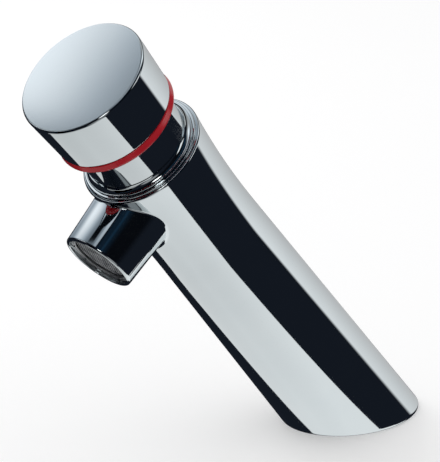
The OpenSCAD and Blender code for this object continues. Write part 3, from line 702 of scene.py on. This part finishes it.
card("card_below", white_card, [(x, y, card_drop) for x, y in (
    (-0.325, -0.030), (-0.325, -0.90), (0.116, -0.90), (0.312, 0.325),
    (0.13, 0.37), (0.13, 0.40), (-0.04, 0.40), (-0.06, -0.026))])
card("card_right", white_card, [(0.3515, -0.2473, -0.1873), (0.0842, 0.0902, -0.0559),
                                (0.02, 0.09, card_drop), (0.12, -0.247, card_drop)])
card("card_black", black_card, [(x, black_card_y, z) for x, z in (
    (-0.006, 0.165), (0.08, 0.160), (0.20, 0.144), (0.33, 0.110),
    (0.60, 0.030), (0.60, 0.60), (-0.006, 0.60))])

# Light tent: a ball of thin cloth round the tap, lit from outside, most at the left, with a gap and a hem.
# Only the chrome mirrors it, on the top of the button, on the spout and in the trim rings.
tent_place, tent_r = (0, -0.12, 0.11), 0.22
left_glow, right_glow, hem_glow = 1.32, 0.45, 1.20
bpy.ops.object.select_all(action="DESELECT")
bpy.ops.mesh.primitive_uv_sphere_add(segments=96, ring_count=48, radius=tent_r, location=tent_place)
tent = bpy.context.object
tent.name = "light_tent"
cloth, sheet, surface = studio_paint("lit tent cloth")
spot = sheet.node("ShaderNodeTexCoord", out="Object")
# Places on the ball are shares of its radius.
side, back, up = (spot.along(way) for way in ((1 / tent_r, 0, 0), (0, 1 / tent_r, 0), (0, 0, 1 / tent_r)))
from_front = lean_cos * back + lean_sin * up
left = side.step(-1.08, -0.84) * (1 - 0.73 * side.step(-0.84, -0.30))
glow = left_glow * left + right_glow * side.step(0.06, 0.18)
glow = glow * (1 - side.step(0.25, 0.28)) * from_front.step(-0.07, 0.20)
glow = glow * up.step(-0.20, 0.05) * (1 - back.step(0.35, 0.60))
gap = side.step(-0.30, -0.22) * (1 - side.step(-0.01, 0.05)) * from_front.step(0.080, 0.092)
hem = from_front.step(-0.28, -0.24) * (1 - from_front.step(-0.14, -0.10)) * up.step(0.20, 0.35)
glow = glow * (1 - gap) + hem_glow * hem * (1 - side.step(-0.40, -0.25))
lit = sheet.node("ShaderNodeEmission", None,
                 {"Color": glow.blend((0.83, 1.0, 1.19, 1), (0.98, 1.0, 1.04, 1)), "Strength": glow})
sheer = sheet.node("ShaderNodeBsdfTransparent")
sheet.node("ShaderNodeAddShader", None, {0: lit, 1: sheer}).into(surface, "Surface")
tent.data.materials.append(cloth)
only_mirrored(tent)

# Room: dark, with a white wall behind, a soft box overhead, a small lamp near the camera and a glimmer at the
# lower right. Only mirrored rays see them. All else gets an even pale light, and the camera sees white.
ambient, near_glow, overhead_glow, low_glow = 0.80, 4.0, 0.50, 0.35
room = bpy.data.worlds.new("studio")
bpy.context.scene.world = room
room.use_nodes = True
room.node_tree.nodes.remove(room.node_tree.nodes["Background"])
air = Wire(room.node_tree)
look = air.node("ShaderNodeTexCoord", out="Generated")
right, behind, above = (look.along(way) for way in ((1, 0, 0), (0, 1, 0), (0, 0, 1)))


def between(value, low, high, soft):
    """Is 1 between two values, with soft edges."""
    return value.step(low - soft, low + soft) * (1 - value.step(high - soft, high + soft))


# The wall is worked out on a plane that stands one unit behind the tap.
ahead = behind.greater(0.02)
wall_across, wall_up = right / ahead, above / ahead
white_wall = (1 - (wall_across - 3.6 * wall_up).step(0.50, 0.71)) * wall_across.step(-0.88, -0.82)
white_wall = white_wall * behind.step(0.30, 0.45) * between(above, -0.58, 0.35, 0.06)
overhead = above.step(0.55, 0.85) * behind.step(-0.05, 0.30) * (1 - right.step(0.28, 0.45))
near_lamp = look.along((0.462, -0.797, 0.390)).step(0.9900, 0.9955)
right_low = look.along((0.725, -0.545, -0.420)).step(0.930, 0.975)
whites = white_wall * (0.82 + 0.55 * right) + near_lamp * near_glow
whites = whites + overhead * overhead_glow + right_low * low_glow
night = 1 - 0.72 * above.step(-0.15, 0.15)
navy = between(right, 0.30, 0.70, 0.12) * above.step(0.40, 0.60)
navy = navy + 1.2 * between(right, 0.52, 0.60, 0.04) * above.step(0.5, 0.6)
tint = air.node("ShaderNodeCombineColor", None,
                {"Red": whites + night * 0.010 + navy * 0.003,
                 "Green": whites + night * 0.013 + navy * 0.012,
                 "Blue": whites + night * 0.020 + navy * 0.024})
seen, mirrored, passed = rays(air, "Camera", "Glossy", "Transmission")
light = mirrored.blend((ambient, ambient, ambient, 1), tint)
backdrop = seen.greater(passed).blend(light, (1, 1, 1, 1))
air.node("ShaderNodeBackground", None, {"Color": backdrop, "Strength": 1.0}).into(
    room.node_tree.nodes["World Output"], "Surface")

# Lamp: a round soft box at the upper left, which throws the shadow and isn't mirrored.
# It hangs well over a metre from the tap and is aimed at the middle of it.
lamp_place, lamp_aim = Vector((-0.95, -0.35, 0.95)), Vector((0, -0.06, 0.08))
bpy.ops.object.light_add(type="AREA", location=lamp_place)
lamp = bpy.context.object
lamp.name = "soft_lamp"
lamp.rotation_mode = "QUATERNION"
lamp.rotation_quaternion = (lamp_aim - lamp_place).to_track_quat("-Z", "Y")
lamp.data.shape, lamp.data.size, lamp.data.energy = "DISK", 0.9, 4.0
lamp.visible_glossy = False

# Camera: a long lens, about a metre away in front of the tap, to the right and a little above it.
# It is rolled a little, as the one that took the photograph was.
view_place, view_aim = Vector((0.6245, -0.6869, 0.3727)), Vector((0.0006, -0.0737, 0.0878))
view_roll, view_lens = math.radians(1.71), 202.6
bpy.ops.object.camera_add(location=view_place)
camera = bpy.context.object
camera.name = "camera"
camera.rotation_mode = "QUATERNION"
camera.rotation_quaternion = ((view_aim - view_place).to_track_quat("-Z", "Y")
                              @ Quaternion((0, 0, 1), view_roll))
camera.data.lens = view_lens
camera.data.clip_start = 0.01
bpy.context.scene.camera = camera
bpy.context.scene.view_settings.view_transform = "Standard"
